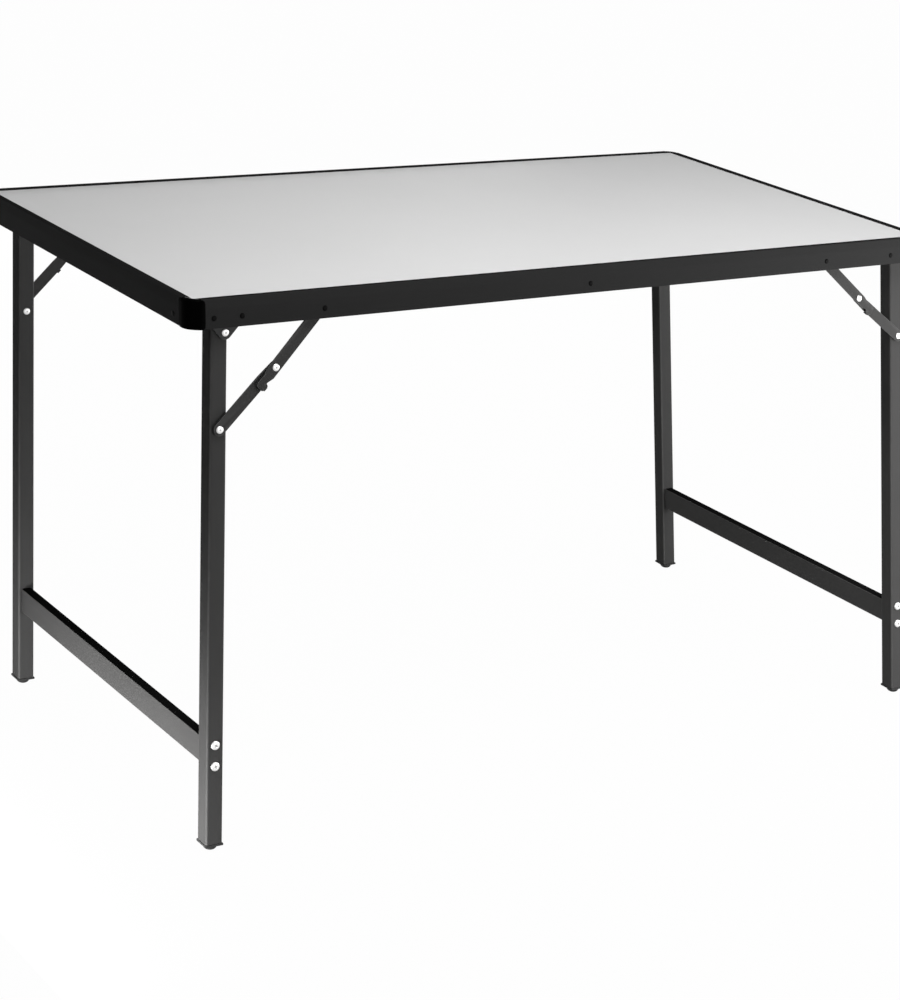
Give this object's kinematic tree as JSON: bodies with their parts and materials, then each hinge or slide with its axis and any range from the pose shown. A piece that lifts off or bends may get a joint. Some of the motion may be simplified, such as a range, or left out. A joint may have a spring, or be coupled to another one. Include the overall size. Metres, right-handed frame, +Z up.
{
  "type": "folding camping table",
  "caption": "Folding camping table with a pale panel in a dark rimmed frame, standing on two splayed leg frames that fold under it on jointed stays.",
  "frame": {"origin": "on the floor under the middle of the tabletop", "axes": "+X along the table's length to the right, +Y from the front to the back, +Z up"},
  "size_m": [1.2022, 0.6022, 0.7],
  "materials": {
    "panel": "pale grey laminate, satin",
    "rail": "dark coated, satin",
    "brace": "dark, satin",
    "cap": "black moulded",
    "frame": "dark coated, satin",
    "bracket": "dark, satin",
    "stay": "dark, satin",
    "rivet": "bright domed",
    "dark_rivet": "dark domed",
    "foot": "black moulded"
  },
  "bodies": {
    "tabletop": {"tabletop_panel": "panel", "rail_front": "rail", "rail_back": "rail", "rail_left": "rail", "rail_right": "rail", "corner_cap_front_left": "cap", "corner_cap_front_right": "cap", "corner_cap_back_right": "cap", "corner_cap_back_left": "cap", "centre_brace": "brace", "hinge_bracket_front_left": "bracket", "hinge_rivet_front_left": "rivet", "hinge_bracket_back_left": "bracket", "hinge_rivet_back_left": "rivet", "stay_rail_rivet_front_left": "dark_rivet", "stay_rail_rivet_back_left": "dark_rivet", "hinge_bracket_front_right": "bracket", "hinge_rivet_front_right": "rivet", "hinge_bracket_back_right": "bracket", "hinge_rivet_back_right": "rivet", "stay_rail_rivet_front_right": "dark_rivet", "stay_rail_rivet_back_right": "dark_rivet"},
    "left_legs": {"stretcher_left": "frame", "leg_front_left": "frame", "foot_front_left": "foot", "stretcher_plug_front_left": "cap", "stay_leg_rivet_front_left": "rivet", "stretcher_screw_lower_front_left": "rivet", "stretcher_screw_upper_front_left": "rivet", "leg_back_left": "frame", "foot_back_left": "foot", "stretcher_plug_back_left": "cap", "stay_leg_rivet_back_left": "rivet", "stretcher_screw_lower_back_left": "rivet", "stretcher_screw_upper_back_left": "rivet"},
    "right_legs": {"stretcher_right": "frame", "leg_front_right": "frame", "foot_front_right": "foot", "stretcher_plug_front_right": "cap", "stay_leg_rivet_front_right": "rivet", "stretcher_screw_lower_front_right": "rivet", "stretcher_screw_upper_front_right": "rivet", "leg_back_right": "frame", "foot_back_right": "foot", "stretcher_plug_back_right": "cap", "stay_leg_rivet_back_right": "rivet", "stretcher_screw_lower_back_right": "rivet", "stretcher_screw_upper_back_right": "rivet"},
    "front_left_upper_link": {"stay_upper_front_left": "stay", "stay_knee_rivet_front_left": "rivet"},
    "front_left_lower_link": {"stay_lower_front_left": "stay"},
    "back_left_upper_link": {"stay_upper_back_left": "stay", "stay_knee_rivet_back_left": "rivet"},
    "back_left_lower_link": {"stay_lower_back_left": "stay"},
    "front_right_upper_link": {"stay_upper_front_right": "stay", "stay_knee_rivet_front_right": "rivet"},
    "front_right_lower_link": {"stay_lower_front_right": "stay"},
    "back_right_upper_link": {"stay_upper_back_right": "stay", "stay_knee_rivet_back_right": "rivet"},
    "back_right_lower_link": {"stay_lower_back_right": "stay"}
  },
  "joints": [
    {"name": "left_fold", "type": "hinge", "parent": "tabletop", "child": "left_legs", "pos_m": [-0.5456, 0, 0.6536], "axis": [0, -1, 0], "range_deg": [0, 91.62]},
    {"name": "front_left_upper_turn", "type": "hinge", "parent": "tabletop", "child": "front_left_upper_link", "pos_m": [-0.41408, -0.2949, 0.676], "axis": [0, -1, 0], "range_deg": [0, 115.58]},
    {"name": "front_left_lower_turn", "type": "hinge", "parent": "left_legs", "child": "front_left_lower_link", "pos_m": [-0.55588, -0.2908, 0.53438], "axis": [0, -1, 0], "range_deg": [-134.94, 0]},
    {"name": "back_left_upper_turn", "type": "hinge", "parent": "tabletop", "child": "back_left_upper_link", "pos_m": [-0.41408, 0.2949, 0.676], "axis": [0, -1, 0], "range_deg": [0, 115.58]},
    {"name": "back_left_lower_turn", "type": "hinge", "parent": "left_legs", "child": "back_left_lower_link", "pos_m": [-0.55588, 0.2908, 0.53438], "axis": [0, -1, 0], "range_deg": [-134.94, 0]},
    {"name": "right_fold", "type": "hinge", "parent": "tabletop", "child": "right_legs", "pos_m": [0.5456, 0, 0.679], "axis": [0, 1, 0], "range_deg": [0, 91.56]},
    {"name": "front_right_upper_turn", "type": "hinge", "parent": "tabletop", "child": "front_right_upper_link", "pos_m": [0.40521, -0.2949, 0.676], "axis": [0, 1, 0], "range_deg": [0, 136.07]},
    {"name": "front_right_lower_turn", "type": "hinge", "parent": "right_legs", "child": "front_right_lower_link", "pos_m": [0.55599, -0.2908, 0.55093], "axis": [0, 1, 0], "range_deg": [-129.63, 0]},
    {"name": "back_right_upper_turn", "type": "hinge", "parent": "tabletop", "child": "back_right_upper_link", "pos_m": [0.40521, 0.2949, 0.676], "axis": [0, 1, 0], "range_deg": [0, 136.07]},
    {"name": "back_right_lower_turn", "type": "hinge", "parent": "right_legs", "child": "back_right_lower_link", "pos_m": [0.55599, 0.2908, 0.55093], "axis": [0, 1, 0], "range_deg": [-129.63, 0]}
  ],
  "couplings": [
    {"joint": "front_left_upper_turn", "follows": "left_fold", "ratio": 1.2604},
    {"joint": "front_left_lower_turn", "follows": "left_fold", "ratio": -1.4717},
    {"joint": "back_left_upper_turn", "follows": "left_fold", "ratio": 1.2604},
    {"joint": "back_left_lower_turn", "follows": "left_fold", "ratio": -1.4717},
    {"joint": "front_right_upper_turn", "follows": "right_fold", "ratio": 1.485},
    {"joint": "front_right_lower_turn", "follows": "right_fold", "ratio": -1.4147},
    {"joint": "back_right_upper_turn", "follows": "right_fold", "ratio": 1.485},
    {"joint": "back_right_lower_turn", "follows": "right_fold", "ratio": -1.4147}
  ]
}
